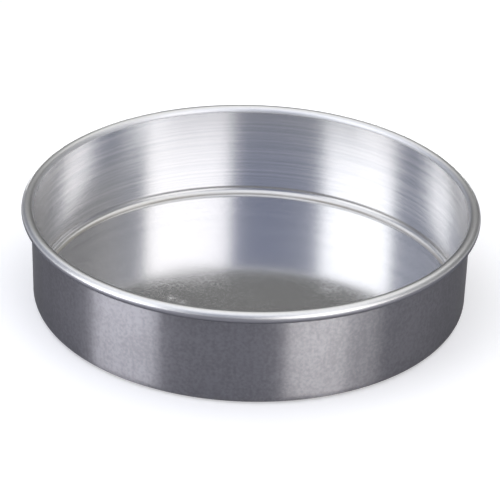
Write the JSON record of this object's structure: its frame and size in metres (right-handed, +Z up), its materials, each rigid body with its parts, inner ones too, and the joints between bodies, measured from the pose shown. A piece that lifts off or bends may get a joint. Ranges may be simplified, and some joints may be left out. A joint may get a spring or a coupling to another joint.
{
  "type": "round cake tin",
  "caption": "Round straight-sided cake tin in bare aluminium, drawn seamless with a small corner radius and a fat bead rolled over a steel wire at the rim.",
  "frame": {"origin": "centre of the underside of the base", "axes": "+Z up along the tin's axis, towards the open mouth; the tin is round, so +X and +Y are free"},
  "size_m": [0.2406, 0.2406, 0.0545],
  "materials": {
    "bare_aluminium": "bare drawn aluminium: half-bright inside with fine turned lines, satin grain outside, smooth bead",
    "galvanised_wire": "dull zinc-coated steel wire"
  },
  "bodies": {
    "root": {"tin_body": "bare_aluminium", "rim_wire": "galvanised_wire"}
  },
  "joints": []
}
